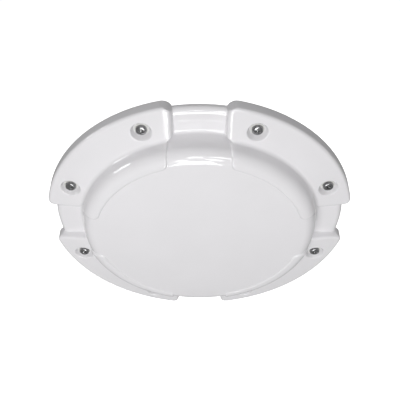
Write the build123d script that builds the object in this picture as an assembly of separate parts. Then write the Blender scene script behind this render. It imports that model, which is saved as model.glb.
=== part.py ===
"""Surface-mounted underwater pool light: an opal lamp head that twists onto a wall bracket.

Row frame: +Z up, the pool wall is the plane y = 0 and the lamp looks along -Y.
The origin is the centre of the bracket's back face, on the lamp's axis.

Every piece is modelled lying on its back, in "bench" axes: bench +Z is the distance from the
wall and bench +Y is up the wall. save() turns each piece into the row frame.
A profile is a list of (radius, height) corners, spun about the lamp's axis.
"""
from build123d import *
import os
from math import cos, hypot, radians, sin, tan

# ---------------------------------------------------------------- driving dimensions, mm
# A name that ends in _R is a radius, and one that ends in _MARGIN is the radius left between two.
RIM_R = 140.8              # overall radius, over the pads

# Front cover, seen from the front
CHANNEL_STEP = 7.0         # how far the four grip channels cut into the rim
CHANNEL_HALF = 22.6        # half of a channel's width across the flange
DOME_CHANNEL_HALF = 28.0   # half of its width where it climbs the shoulder
SCREW_MARGIN = 16.8        # rim to screw circle
SCREW_COUNT = 8
FOOT_MARGIN = 14.3         # screw circle to the foot of the shoulder
SHOULDER_RUN = 4.3         # foot of the shoulder to its brow
PAD_OVERLAP = 11.6         # how far a pad reaches over the brow
PAD_BROW_OUT = 1.3         # how much further out a pad's brow is than the dome's
PAD_CORNER_R = 8.0         # plan rounding of a pad's rim corners
FACE_TANGENT = 17.0        # width of the straight band between the dome's shallow arc and its brow

# Front cover, heights above the housing's flange
CHANNEL_FLOOR_H = 3.8
PAD_RIM_H = 8.0            # pad face at the rim
PAD_BASE_H = 12.0          # pad face at the foot of the shoulder
SINK_FLOOR_H = 5.4         # floor of a screw pocket
BROW_H = 27.7
DOME_H = 32.7
COVER_WALL = 3.2
PAD_STEP = 0.8             # how far a pad stands proud of the dome's face
SEAT_GAP = 0.3             # cover's underside to housing flange
SKIRT_WALL = 2.7
SKIRT_GAP = 0.4
CORE_MARGIN = 7.5          # screw circle to the inside of the coring pocket under a pad
CORE_WIDTH = 14.5
CORE_HALF = 16.0           # half of its angle, degrees
CORE_H = 4.8

# Front cover, roundings
CHANNEL_ROUND = 5.0
PAD_ROUND = 2.8
FOOT_ROUND = 3.5
BROW_ROUND = 12.0

# Rear housing
TUB_DEPTH = 15.5           # back face of the tub to back face of the flange
TUB_WALL = 3.0
TUB_ROUND = 4.0            # rounding of the tub's back corner
TUB_MARGIN = 21.0          # inside of the gasket to outside of the tub
FLANGE_T = 3.2
INSERT_R = 3.6             # brass insert, outside
INSERT_L = 9.0
BOSS_R = 6.5
BOSS_L = 10.5
GUSSET_T = 2.6
GUSSET_H = 8.0

# Wall bracket and its bayonet
BRACKET_PLATE = 3.0        # thickness of the plate on the wall
BRACKET_WALL = 3.0         # thickness of the bracket's ring
BRACKET_H = 18.0           # height of the ring above the pool wall
BRACKET_GAP = 3.5          # top of the ring to the back of the tub
BRACKET_HOLE_R = 2.75      # clearance hole for a 5 mm wall screw
WALL_SCREW_MARGIN = 13.0   # outside of the spigot to the circle of the wall screws
CONDUIT_R = 22.0           # hole for the cable and the conduit's mouth
NOTCH_W = 14.0             # water and cable notch in the ring
BAYONET_COUNT = 4
BAYONET_PHASE = 30.0       # direction of the first lug, degrees
LUG_HALF = 12.0            # half of a lug's angle, degrees
LIP_HALF = 13.0            # half of a lip's angle, degrees
STOP_ANGLE = 4.0           # angle that a stop rib fills, degrees
STOP_GAP = 0.6             # angle left between a lug and its stop, degrees
TWIST = 30.0               # turn from locked to free, degrees
SPIGOT_MARGIN = 25.0       # outside of the tub to outside of the spigot
SPIGOT_WALL = 3.0
LUG_REACH = 4.6            # how far a lug stands out of the spigot
LUG_RING_GAP = 1.4         # lug to the bracket's ring, radial
LUG_T = 4.0                # a lug's thickness along the axis
LIP_T = 3.2                # a lip's thickness along the axis
LUG_FLOOR_GAP = 2.8        # lug to bracket plate
LUG_LIP_GAP = 0.4          # lug to lip along the axis
LIP_SPIGOT_GAP = 1.2       # lip to spigot, radial

# Cover screws, washers and gasket
SCREW_R = 2.45
THREAD_GAP = 0.05          # every screw to its thread bore, radial
SCREW_PASS_GAP = 0.45      # cover screw to its clearance hole, radial
SCREW_L = 16.0
HEAD_R = 4.9
HEAD_H = 3.4
HEAD_ROUND = 2.2
RECESS_ARM = 1.25          # width of the cross recess
RECESS_SPAN = 5.2
RECESS_DEPTH = 2.0
WASHER_R = 6.0
WASHER_T = 0.8
SINK_GAP = 0.6             # washer to the foot of its pocket's wall, radial
SINK_FLARE = 2.3           # how much wider the pocket is at the pad's face
GASKET_MARGIN = 10.5       # outside of the gasket to the screw circle
GASKET_W = 4.5
GASKET_GAP = 0.2
GROOVE_DEPTH = 2.0

# Cable gland
GLAND_R = 7.9              # thread through the housing
GLAND_PASS_GAP = 0.1       # gland thread to housing, washer and locknut, radial
HEX_AF = 22.0              # across flats
GLAND_WASHER_R = 11.0
GLAND_WASHER_T = 1.5
GLAND_HEX_T = 4.5
GLAND_TAIL = 7.5           # threaded tail towards the wall
GLAND_TAIL_WALL = 1.9      # tail's wall round the seal
GLAND_STICKOUT = 2.0       # thread beyond the locknut, inside
LOCKNUT_T = 4.0
SEAL_BORE_R = 4.0          # fits an 8 mm round cable
SEAL_WALL = 2.4
SEAL_L = 6.0
SEAL_GAP = 0.1
CORE_GAP = 0.5             # gland's core to the cable, radial
MOUTH_GAP = 0.6            # cap's mouth to the cable, radial
CAP_WALL = 2.4             # cap's side wall over the tail
CAP_END = 2.2              # cap's end wall over the seal
CAP_L = 9.0
CAP_ROUND = 1.2

# Driver
DRIVER_MARGIN = 28.0       # outside of the tub to edge of the driver board
DRIVER_HOLE_R = 18.0
DRIVER_STANDOFF = 3.0
DRIVER_POST_MARGIN = 7.0   # edge of the driver board to its screws
DRIVER_POST_COUNT = 4
DRIVER_SCREW_L = 6.0
TALLEST_H = 9.6            # tallest component, the capacitors
PART_MARGIN = 22.0         # edge of the driver board to the big components' circle
CAPACITOR_SPACING = 14.0
OUTPUT_BLOCK = (11.0, 8.0, 6.5)   # length, width, height of the output connector
OUTPUT_WIRE_H = 5.0        # its wire entry, above the driver board
WIRE_R = 0.8
WIRE_GAP = 4.0             # between the two leads' centres
LEAD_RISE_Y = 4.0          # where the leads climb through the wire hole
LEAD_BEND_SHARE = 0.45     # bend radius, as a share of the shorter run beside it

# Light engine
ENGINE_GAP = 1.3           # tallest component to heat spreader
SPREADER_GAP = 1.5         # tub to heat spreader, radial
SPREADER_T = 2.0
THERMAL_T = 0.5
LED_BOARD_GAP = 5.0        # tub to LED board, radial
BOARD_T = 1.6
POST_MARGIN = 12.0         # outside of the tub to the posts' circle
POST_COUNT = 6
POST_R = 4.0
LED_PITCH = 16.0           # between rings of LEDs
LED_RING_COUNT = 4
LED_RING_MARGIN = 13.0     # edge of the LED board to the outer ring of LEDs
LED_SIDE = 5.0
LED_H = 1.0
WIRE_HOLE_R = 7.0          # hole in the middle of spreader, pad and LED board
LED_BLOCK = (11.0, 5.0, 3.2)      # length, width, height of the LED board's connector
LED_BLOCK_GAP = 1.5        # wire hole to connector
TIP_GAP = 0.3              # beyond a screw's tip, in a blind hole
SMALL_SCREW_R = 1.45
SMALL_PASS_GAP = 0.35      # board screw to its clearance hole, radial
SMALL_HEAD_R = 2.8
SMALL_HEAD_H = 2.0
SMALL_HEAD_ROUND = 1.0
BOARD_SCREW_L = 12.0
REFLECTOR_T = 1.2
REFLECTOR_FOOT = 8.5       # width of its flat foot on the LED board
REFLECTOR_RUN = 15.0       # how far it leans out
REFLECTOR_RISE = 8.0       # how far it rises

# ---------------------------------------------------------------- sizes that follow
CHANNEL_R = RIM_R - CHANNEL_STEP
SCREW_CIRCLE_R = RIM_R - SCREW_MARGIN
FOOT_R = SCREW_CIRCLE_R - FOOT_MARGIN
BROW_R = FOOT_R - SHOULDER_RUN
PAD_INNER_R = BROW_R - PAD_OVERLAP
PAD_BROW_R = BROW_R + PAD_BROW_OUT
FACE_ARC_R = BROW_R - FACE_TANGENT
GASKET_OUT_R = SCREW_CIRCLE_R - GASKET_MARGIN
GASKET_IN_R = GASKET_OUT_R - GASKET_W
TUB_R = GASKET_IN_R - TUB_MARGIN
TUB_IN_R = TUB_R - TUB_WALL
SPIGOT_R = TUB_R - SPIGOT_MARGIN
LUG_OUT_R = SPIGOT_R + LUG_REACH
LIP_IN_R = SPIGOT_R + LIP_SPIGOT_GAP
BRACKET_IN_R = LUG_OUT_R + LUG_RING_GAP
BRACKET_R = BRACKET_IN_R + BRACKET_WALL
WALL_SCREW_CIRCLE_R = SPIGOT_R - WALL_SCREW_MARGIN
DRIVER_R = TUB_R - DRIVER_MARGIN
DRIVER_POST_CIRCLE_R = DRIVER_R - DRIVER_POST_MARGIN
PART_CIRCLE_R = DRIVER_R - PART_MARGIN
SPREADER_R = TUB_IN_R - SPREADER_GAP
LED_BOARD_R = TUB_IN_R - LED_BOARD_GAP
POST_CIRCLE_R = TUB_R - POST_MARGIN
SKIRT_IN_R = CHANNEL_R - SKIRT_WALL
FLANGE_R = SKIRT_IN_R - SKIRT_GAP
CORE_IN_R = SCREW_CIRCLE_R - CORE_MARGIN
CORE_OUT_R = CORE_IN_R + CORE_WIDTH
SCREW_BORE_R = SCREW_R + THREAD_GAP
SCREW_HOLE_R = SCREW_R + SCREW_PASS_GAP
SINK_R = WASHER_R + SINK_GAP
SMALL_BORE_R = SMALL_SCREW_R + THREAD_GAP
SMALL_HOLE_R = SMALL_SCREW_R + SMALL_PASS_GAP
GLAND_HOLE_R = GLAND_R + GLAND_PASS_GAP
GLAND_CORE_R = SEAL_BORE_R + CORE_GAP
SEAL_R = SEAL_BORE_R + SEAL_WALL
GLAND_TAIL_R = SEAL_R + SEAL_GAP + GLAND_TAIL_WALL
CAP_R = GLAND_TAIL_R + SEAL_GAP + CAP_WALL
CAP_MOUTH_R = SEAL_BORE_R + MOUTH_GAP

# Heights: distances from the pool wall
LUG_BACK = BRACKET_PLATE + LUG_FLOOR_GAP
LIP_BACK = LUG_BACK + LUG_T + LUG_LIP_GAP
HOUSING_BACK = BRACKET_H + BRACKET_GAP
TUB_FLOOR = HOUSING_BACK + TUB_WALL
FLANGE_BACK = HOUSING_BACK + TUB_DEPTH
FLANGE_TOP = FLANGE_BACK + FLANGE_T
COVER_SEAT = FLANGE_TOP + SEAT_GAP
GROOVE_FLOOR = FLANGE_TOP - GROOVE_DEPTH
BOSS_BACK = FLANGE_BACK - BOSS_L
CHANNEL_FLOOR = FLANGE_TOP + CHANNEL_FLOOR_H
PAD_RIM = FLANGE_TOP + PAD_RIM_H
PAD_BASE = FLANGE_TOP + PAD_BASE_H
BROW = FLANGE_TOP + BROW_H
DOME_TOP = FLANGE_TOP + DOME_H
CORE_ROOF = FLANGE_TOP + CORE_H
SINK_FLOOR = FLANGE_TOP + SINK_FLOOR_H
WASHER_TOP = SINK_FLOOR + WASHER_T
DRIVER_BACK = TUB_FLOOR + DRIVER_STANDOFF
DRIVER_TOP = DRIVER_BACK + BOARD_T
ENGINE_SEAT = DRIVER_TOP + TALLEST_H + ENGINE_GAP
THERMAL_BACK = ENGINE_SEAT + SPREADER_T
LED_BOARD_BACK = THERMAL_BACK + THERMAL_T
LED_BOARD_TOP = LED_BOARD_BACK + BOARD_T
BOARD_SCREW_SEAT = LED_BOARD_TOP + REFLECTOR_T
GLAND_HEX_TOP = HOUSING_BACK - GLAND_WASHER_T
GLAND_HEX_BACK = GLAND_HEX_TOP - GLAND_HEX_T
GLAND_BACK = GLAND_HEX_BACK - GLAND_TAIL
GLAND_FRONT = TUB_FLOOR + LOCKNUT_T + GLAND_STICKOUT
FACE_RADIUS = (BROW_R**2 + (DOME_TOP - BROW)**2) / (2 * (DOME_TOP - BROW))
FACE_SLOPE = FACE_ARC_R / FACE_RADIUS


# ---------------------------------------------------------------- helpers
def polar(radius, angle):
    """Point of the bench plane at a radius and an angle in degrees."""
    return radius * cos(radians(angle)), radius * sin(radians(angle))


def ring_of(count, phase=0.0):
    """Evenly spaced directions in degrees."""
    return [phase + 360.0 * k / count for k in range(count)]


def spin(corners):
    """Solid of revolution about the lamp's axis. A corner is (radius, height) or, where it is
    rounded, (radius, height, rounding): the rounding is an arc tangent to both sides."""
    edges, ends = [], []
    count = len(corners)
    for k, corner in enumerate(corners):
        here = Vector(corner[0], 0, corner[1])
        if len(corner) == 2:
            ends.append((here, here))
            continue
        before, after = corners[k - 1], corners[(k + 1) % count]
        back = (Vector(before[0], 0, before[1]) - here).normalized()
        ahead = (Vector(after[0], 0, after[1]) - here).normalized()
        half = radians(back.get_angle(ahead)) / 2
        start = here + back * (corner[2] / tan(half))
        end = here + ahead * (corner[2] / tan(half))
        middle = here + (back + ahead).normalized() * (corner[2] / sin(half) - corner[2])
        edges.append(ThreePointArc(start, middle, end))
        ends.append((start, end))
    for k in range(count):
        start, end = ends[k][1], ends[(k + 1) % count][0]
        if (end - start).length > 1e-6:
            edges.append(Line(start, end))
    return revolve(make_face(Wire(edges)), Axis.Z)


def tube(outer, inner, back, front):
    """Ring, or disc where inner is 0, between two distances from the wall."""
    outside = Pos(0, 0, back) * extrude(Circle(outer), front - back)
    if inner == 0:
        return outside
    return outside - Pos(0, 0, back) * extrude(Circle(inner), front - back)


def sector(outer, inner, back, front, centre, half):
    """Piece of a ring, half degrees to each side of the centre direction."""
    reach = outer * 2
    corners = [(0, 0), polar(reach, centre - half), polar(reach, centre), polar(reach, centre + half)]
    wedge = extrude(make_face(Polyline(*corners, close=True)), front - back)
    return tube(outer, inner, back, front) & (Pos(0, 0, back) * wedge)


def hexagon(across_flats, bore, back, front):
    """Six-sided nut between two distances from the wall."""
    prism = Pos(0, 0, back) * extrude(RegularPolygon(across_flats / 2, 6, major_radius=False), front - back)
    return prism - tube(bore, 0, back - 1, front + 1)


def copies(piece, radius, angles):
    """The piece at each direction, its own +X turned outwards."""
    return [Pos(*polar(radius, a)) * Rot(0, 0, a) * piece for a in angles]


def joined(body, pieces):
    """The body with each piece added."""
    for piece in pieces:
        body += piece
    return body


def cut(body, pieces):
    """The body with each piece taken away."""
    for piece in pieces:
        body -= piece
    return body


def inset(corners, distance):
    """The corners of the line that runs inside an open profile at that distance."""
    sides = []
    for (r0, h0), (r1, h1) in zip(corners, corners[1:]):
        length = hypot(r1 - r0, h1 - h0)
        normal = ((h1 - h0) / length, -(r1 - r0) / length)
        sides.append((r0 + normal[0] * distance, h0 + normal[1] * distance, r1 - r0, h1 - h0))
    moved = [sides[0][:2]]
    for (ax, ay, adx, ady), (bx, by, bdx, bdy) in zip(sides, sides[1:]):
        share = ((bx - ax) * bdy - (by - ay) * bdx) / (adx * bdy - ady * bdx)
        moved.append((ax + adx * share, ay + ady * share))
    last = sides[-1]
    moved.append((last[0] + last[2], last[1] + last[3]))
    return moved


SCREW_ANGLES = ring_of(SCREW_COUNT, 180.0 / SCREW_COUNT)
BAYONET_ANGLES = ring_of(BAYONET_COUNT, BAYONET_PHASE)
PAD_ANGLES = ring_of(4, 45.0)
POST_ANGLES = ring_of(POST_COUNT, 90.0)
DRIVER_POST_ANGLES = ring_of(DRIVER_POST_COUNT, 45.0)


# ---------------------------------------------------------------- wall bracket
def wall_bracket():
    """Cup on the pool wall: a plate with four screw holes and the cable hole, and a ring whose
    inward lips hold the lamp's lugs. Each lip has a stop rib for the locked and the free end."""
    body = tube(BRACKET_R, 0, 0, BRACKET_PLATE) + tube(BRACKET_R, BRACKET_IN_R, 0, BRACKET_H)
    grip = BRACKET_WALL / 2
    lip_top = LIP_BACK + LIP_T
    free_stop = TWIST + LUG_HALF + STOP_GAP + STOP_ANGLE / 2
    locked_stop = -LUG_HALF - STOP_GAP - STOP_ANGLE / 2
    for angle in BAYONET_ANGLES:
        body += sector(BRACKET_IN_R + grip, LIP_IN_R, LIP_BACK, lip_top, angle, LIP_HALF)
        for offset in (free_stop, locked_stop):
            body += sector(BRACKET_IN_R + grip, LIP_IN_R, grip, lip_top, angle + offset, STOP_ANGLE / 2)
    notch = Pos(0, 0, BRACKET_PLATE) * extrude(Rectangle(4 * BRACKET_WALL, NOTCH_W), BRACKET_H)
    body = cut(body, copies(notch, BRACKET_R - BRACKET_WALL / 2, ring_of(4)))
    body -= tube(CONDUIT_R, 0, -1, BRACKET_PLATE + 1)
    hole = tube(BRACKET_HOLE_R, 0, -1, BRACKET_PLATE + 1)
    return cut(body, copies(hole, WALL_SCREW_CIRCLE_R, ring_of(4, 45.0)))


# ---------------------------------------------------------------- rear housing
def rear_housing():
    """Tub with a flange in front, eight screw bosses and gussets behind the flange, posts inside
    and the bayonet spigot on its back."""
    tub = spin([(0, HOUSING_BACK), (TUB_R, HOUSING_BACK, TUB_ROUND), (TUB_R, FLANGE_BACK, 1.5),
                (FLANGE_R, FLANGE_BACK), (FLANGE_R, FLANGE_TOP), (TUB_IN_R, FLANGE_TOP),
                (TUB_IN_R, TUB_FLOOR, TUB_ROUND / 2), (0, TUB_FLOOR)])
    spigot_wall = tube(SPIGOT_R, SPIGOT_R - SPIGOT_WALL, LUG_BACK, HOUSING_BACK)
    body = tub + spigot_wall
    for angle in BAYONET_ANGLES:
        body += sector(LUG_OUT_R, SPIGOT_R - 1, LUG_BACK, LUG_BACK + LUG_T, angle, LUG_HALF)
    boss = tube(BOSS_R, 0, BOSS_BACK, FLANGE_BACK)
    gusset_run = SCREW_CIRCLE_R - TUB_R
    gusset = extrude(make_face(Polyline((0, 0), (gusset_run + TUB_WALL / 2, 0),
                                        (TUB_WALL / 4, -GUSSET_H), (0, -GUSSET_H), close=True)),
                     GUSSET_T / 2, both=True)
    gusset = Pos(0, 0, FLANGE_BACK) * Rot(90, 0, 0) * gusset
    engine_post = tube(POST_R, 0, TUB_FLOOR - 1, ENGINE_SEAT)
    driver_post = tube(POST_R, 0, TUB_FLOOR - 1, DRIVER_BACK)
    body = joined(body, copies(boss, SCREW_CIRCLE_R, SCREW_ANGLES))
    body = joined(body, copies(gusset, TUB_R - TUB_WALL / 2, SCREW_ANGLES))
    body = joined(body, copies(engine_post, POST_CIRCLE_R, POST_ANGLES))
    body = joined(body, copies(driver_post, DRIVER_POST_CIRCLE_R, DRIVER_POST_ANGLES))
    body -= tube(GASKET_OUT_R + GASKET_GAP, GASKET_IN_R - GASKET_GAP, GROOVE_FLOOR, FLANGE_TOP + 1)
    body -= tube(GLAND_HOLE_R, 0, HOUSING_BACK - 1, TUB_FLOOR + 1)
    insert_hole = tube(INSERT_R, 0, FLANGE_TOP - INSERT_L, FLANGE_TOP + 1)
    screw_hole = tube(SCREW_BORE_R, 0, WASHER_TOP - SCREW_L - TIP_GAP, FLANGE_TOP)
    board_hole = tube(SMALL_BORE_R, 0, BOARD_SCREW_SEAT - BOARD_SCREW_L - TIP_GAP, ENGINE_SEAT + 1)
    driver_hole = tube(SMALL_BORE_R, 0, DRIVER_TOP - DRIVER_SCREW_L - TIP_GAP, DRIVER_BACK + 1)
    body = cut(body, copies(insert_hole, SCREW_CIRCLE_R, SCREW_ANGLES))
    body = cut(body, copies(screw_hole, SCREW_CIRCLE_R, SCREW_ANGLES))
    body = cut(body, copies(board_hole, POST_CIRCLE_R, POST_ANGLES))
    return cut(body, copies(driver_hole, DRIVER_POST_CIRCLE_R, DRIVER_POST_ANGLES))


# ---------------------------------------------------------------- front cover
def dome_line():
    """Outer line of the dome from the end of its face's arc: brow, foot of the shoulder, flange."""
    arc_end = (FACE_ARC_R, DOME_TOP - FACE_ARC_R**2 / (2 * FACE_RADIUS))
    brow = (BROW_R, arc_end[1] - (BROW_R - FACE_ARC_R) * FACE_SLOPE)
    return [arc_end, brow, (FOOT_R, CHANNEL_FLOOR)]


def spin_dome(line, top, roundings, rim):
    """Solid under a dome: its face is an arc from the axis, then the line, then the rim's corners.
    The arc and the line are two solids of revolution that share a cylinder and are joined."""
    arc_end = line[0]
    middle_r = arc_end[0] / 2
    middle = (middle_r, top - (top - arc_end[1]) / 4)
    floor = rim[-1][1]
    crown = make_face(Wire([
        ThreePointArc((0, 0, top), (middle[0], 0, middle[1]), (arc_end[0], 0, arc_end[1])),
        Line((arc_end[0], 0, arc_end[1]), (arc_end[0], 0, floor)),
        Line((arc_end[0], 0, floor), (0, 0, floor)),
        Line((0, 0, floor), (0, 0, top))]))
    corners = [arc_end] + [(r, h, rounding) for (r, h), rounding in zip(line[1:], roundings)]
    return revolve(crown, Axis.Z) + spin(corners + rim + [(arc_end[0], floor)])


def channels(half, inner, outer, back, front):
    """Four straight bars, one along each channel."""
    bar = Pos(0, 0, back) * extrude(Rectangle(outer - inner, 2 * half), front - back)
    bars = copies(bar, (outer + inner) / 2, ring_of(4))
    return bars[0] + bars[1] + bars[2] + bars[3]


def pads():
    """Four raised pads, each over the flange and up the shoulder, with rounded rim corners."""
    brow = dome_line()[1][1] + PAD_STEP - PAD_BROW_OUT * FACE_SLOPE
    crest = dome_line()[1][1] + (BROW_R - PAD_INNER_R) * FACE_SLOPE + PAD_STEP
    band = spin([(PAD_INNER_R, crest), (PAD_BROW_R, brow, BROW_ROUND - PAD_BROW_OUT),
                 (FOOT_R, PAD_BASE, FOOT_ROUND), (RIM_R, PAD_RIM, PAD_ROUND), (RIM_R, FLANGE_BACK),
                 (CHANNEL_R - SKIRT_WALL, FLANGE_BACK), (CHANNEL_R - SKIRT_WALL, COVER_SEAT),
                 (FOOT_R, COVER_SEAT), (PAD_INNER_R, BROW - COVER_WALL)])
    plan = Circle(RIM_R)
    for angle in (0, 90):
        plan -= Rot(0, 0, angle) * Rectangle(3 * RIM_R, 2 * CHANNEL_HALF)
    corners = [v for v in plan.vertices() if hypot(v.X, v.Y) > CHANNEL_R]
    plan = fillet(corners, PAD_CORNER_R)
    outline = Pos(0, 0, FLANGE_BACK - 1) * extrude(plan, DOME_TOP - FLANGE_BACK)
    return (band & outline) - channels(DOME_CHANNEL_HALF, 0, FOOT_R, FLANGE_BACK, DOME_TOP + 1)


def front_cover():
    """One opal moulding: shallow dome, flange with skirt, four pads, screw pockets and coring."""
    line = dome_line()
    rim = [(CHANNEL_R, CHANNEL_FLOOR, CHANNEL_ROUND), (CHANNEL_R, FLANGE_BACK)]
    body = spin_dome(line, DOME_TOP, (BROW_ROUND, FOOT_ROUND), rim) + pads()
    inner = inset(line, COVER_WALL)
    foot_in = (inner[2][0], COVER_SEAT - 1)
    cavity = spin_dome(inner[:2], DOME_TOP - COVER_WALL, (BROW_ROUND - COVER_WALL,),
                       [(inner[2][0], inner[2][1]), foot_in])
    body -= cavity
    body -= tube(SKIRT_IN_R, 0, FLANGE_BACK - 1, COVER_SEAT)
    for angle in PAD_ANGLES:
        body -= sector(CORE_OUT_R, CORE_IN_R, COVER_SEAT - 1, CORE_ROOF, angle, CORE_HALF)
    pad_face = PAD_RIM + (RIM_R - SCREW_CIRCLE_R) * (PAD_BASE - PAD_RIM) / (RIM_R - FOOT_R)
    pocket = Cone(SINK_R, SINK_R + 2 * SINK_FLARE, 2 * (pad_face - SINK_FLOOR),
                  align=(Align.CENTER, Align.CENTER, Align.MIN))
    bore = tube(SCREW_HOLE_R, 0, COVER_SEAT - 1, SINK_FLOOR + 1)
    return cut(body, copies(Pos(0, 0, SINK_FLOOR) * pocket + bore, SCREW_CIRCLE_R, SCREW_ANGLES))


# ---------------------------------------------------------------- fasteners and seals
def cover_screw():
    """Pan-head machine screw with a cross recess, its head up."""
    head = spin([(0, WASHER_TOP), (HEAD_R, WASHER_TOP), (HEAD_R, WASHER_TOP + HEAD_H, HEAD_ROUND),
                 (0, WASHER_TOP + HEAD_H)])
    shank = tube(SCREW_R, 0, WASHER_TOP - SCREW_L, WASHER_TOP)
    recess_floor = WASHER_TOP + HEAD_H - RECESS_DEPTH
    plus = Rectangle(RECESS_SPAN, RECESS_ARM) + Rectangle(RECESS_ARM, RECESS_SPAN)
    cross = extrude(plus, RECESS_DEPTH + 1)
    return head + shank - Pos(0, 0, recess_floor) * cross


def small_screw(seat, length):
    """Self-tapping screw for a board, its head seated on that distance from the wall."""
    head = spin([(0, seat), (SMALL_HEAD_R, seat), (SMALL_HEAD_R, seat + SMALL_HEAD_H, SMALL_HEAD_ROUND),
                 (0, seat + SMALL_HEAD_H)])
    return head + tube(SMALL_SCREW_R, 0, seat - length, seat)


def cover_gasket():
    """Square-section silicone ring between the housing's groove and the cover."""
    return tube(GASKET_OUT_R, GASKET_IN_R, GROOVE_FLOOR, COVER_SEAT)


# ---------------------------------------------------------------- cable gland
def gland_body():
    """Gland with a thread into the housing, a hexagon and a threaded tail for its cap."""
    body = hexagon(HEX_AF, GLAND_CORE_R, GLAND_HEX_BACK, GLAND_HEX_TOP)
    body += tube(GLAND_R, GLAND_CORE_R, GLAND_HEX_TOP - 1, GLAND_FRONT)
    body += tube(GLAND_TAIL_R, GLAND_CORE_R, GLAND_BACK, GLAND_HEX_BACK + 1)
    return body - tube(SEAL_R + SEAL_GAP, 0, GLAND_BACK - 1, GLAND_BACK + SEAL_L)


def gland_seal():
    """Rubber bush that grips the cable."""
    return tube(SEAL_R, SEAL_BORE_R, GLAND_BACK, GLAND_BACK + SEAL_L)


def gland_cap():
    """Dome nut on the gland's tail: it has flats and presses on the seal."""
    back = GLAND_BACK - CAP_END
    front = back + CAP_L
    body = spin([(0, back), (CAP_R, back, CAP_ROUND), (CAP_R, front), (0, front)])
    flats = Pos(0, 0, back) * extrude(RegularPolygon(CAP_R - CAP_ROUND / 2, 6, major_radius=False), CAP_L)
    body = body & flats
    body -= tube(GLAND_TAIL_R + SEAL_GAP, 0, GLAND_BACK, front + 1)
    return body - tube(CAP_MOUTH_R, 0, back - 1, GLAND_BACK + 1)


# ---------------------------------------------------------------- light engine
def disc_with_holes(radius, back, front):
    """Round plate with the wire hole in its middle and a clearance hole over each post."""
    hole = tube(SMALL_HOLE_R, 0, back - 1, front + 1)
    return cut(tube(radius, WIRE_HOLE_R, back, front), copies(hole, POST_CIRCLE_R, POST_ANGLES))


def led_chips():
    """Square LED packages on concentric rings."""
    chip = Pos(0, 0, LED_BOARD_TOP) * extrude(Rectangle(LED_SIDE, LED_SIDE), LED_H)
    outer = LED_BOARD_R - LED_RING_MARGIN
    chips = []
    for k in range(LED_RING_COUNT):
        chips += copies(chip, outer - k * LED_PITCH, ring_of(6 * (LED_RING_COUNT - k), 90.0))
    return chips


def reflector_ring():
    """Thin white ring that leans outwards from the LED board's edge. The board screws hold its
    flat foot down."""
    foot_in = LED_BOARD_R - REFLECTOR_FOOT
    top = LED_BOARD_TOP + REFLECTOR_RISE
    lean_out = LED_BOARD_R + REFLECTOR_RUN
    body = spin([(foot_in, LED_BOARD_TOP), (LED_BOARD_R, LED_BOARD_TOP), (lean_out, top),
                 (lean_out - 2 * REFLECTOR_T, top), (LED_BOARD_R - REFLECTOR_T / 2, BOARD_SCREW_SEAT),
                 (foot_in, BOARD_SCREW_SEAT)])
    hole = tube(SMALL_HOLE_R, 0, LED_BOARD_TOP - 1, BOARD_SCREW_SEAT + 1)
    return cut(body, copies(hole, POST_CIRCLE_R, POST_ANGLES))


# ---------------------------------------------------------------- driver
def driver_board():
    """Annular circuit board round the gland, on four posts."""
    body = tube(DRIVER_R, DRIVER_HOLE_R, DRIVER_BACK, DRIVER_TOP)
    hole = tube(SMALL_HOLE_R, 0, DRIVER_BACK - 1, DRIVER_TOP + 1)
    return cut(body, copies(hole, DRIVER_POST_CIRCLE_R, DRIVER_POST_ANGLES))


def on_board(piece, x, y):
    """A component at a place on the driver board."""
    return Pos(x, y, DRIVER_TOP) * piece


def block(length, width, height, rounding=0.4):
    """Component body with rounded upright edges, standing on z = 0."""
    body = Box(length, width, height, align=(Align.CENTER, Align.CENTER, Align.MIN))
    return fillet(body.edges().filter_by(Axis.Z), rounding)


def inductor():
    """Low drum choke: two flanges and a wound waist."""
    return spin([(0, 0), (7.0, 0), (7.0, 1.5), (5.6, 2.2), (5.6, 6.4), (7.0, 7.1), (7.0, 8.6), (0, 8.6)])


def capacitor():
    """Electrolytic can with the crimp near its foot."""
    return spin([(0, 0), (5.0, 0), (5.0, 1.6), (4.6, 2.1), (5.0, 2.6),
                 (5.0, TALLEST_H, 0.6), (0, TALLEST_H)])


def led_block_y():
    """Centre of the LED board's connector, below the wire hole."""
    return -WIRE_HOLE_R - LED_BLOCK_GAP - LED_BLOCK[1] / 2


def led_lead(side):
    """One lead from the driver's output connector, up through the wire hole to the LED board's
    connector. side is -1 or 1."""
    x = side * WIRE_GAP / 2
    low = DRIVER_TOP + OUTPUT_WIRE_H
    high = LED_BOARD_TOP + LED_BLOCK[2] / 2
    out_y = PART_CIRCLE_R - OUTPUT_BLOCK[1] / 2
    in_y = led_block_y() + LED_BLOCK[1] / 2
    route = [(x, out_y, low), (x, LEAD_RISE_Y, low), (x, LEAD_RISE_Y, high), (x, in_y, high)]
    runs = [out_y - LEAD_RISE_Y, high - low, LEAD_RISE_Y - in_y]
    bends = [LEAD_BEND_SHARE * min(pair) for pair in zip(runs, runs[1:])]
    path = FilletPolyline(*route, radius=bends)
    section = Plane(origin=path @ 0, z_dir=path % 0) * Circle(WIRE_R)
    return sweep(section, path=path)


# ---------------------------------------------------------------- writing the nodes
def save(name, pieces):
    """Turns a piece, or a group of separate solids, from bench axes into the row frame."""
    solids = pieces if isinstance(pieces, list) else [pieces]
    turned = [Rot(90, 0, 0) * solid for solid in solids]
    shape = turned[0] if len(turned) == 1 else Compound(children=turned)
    export_step(shape, f"parts/{name}.step")


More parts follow.
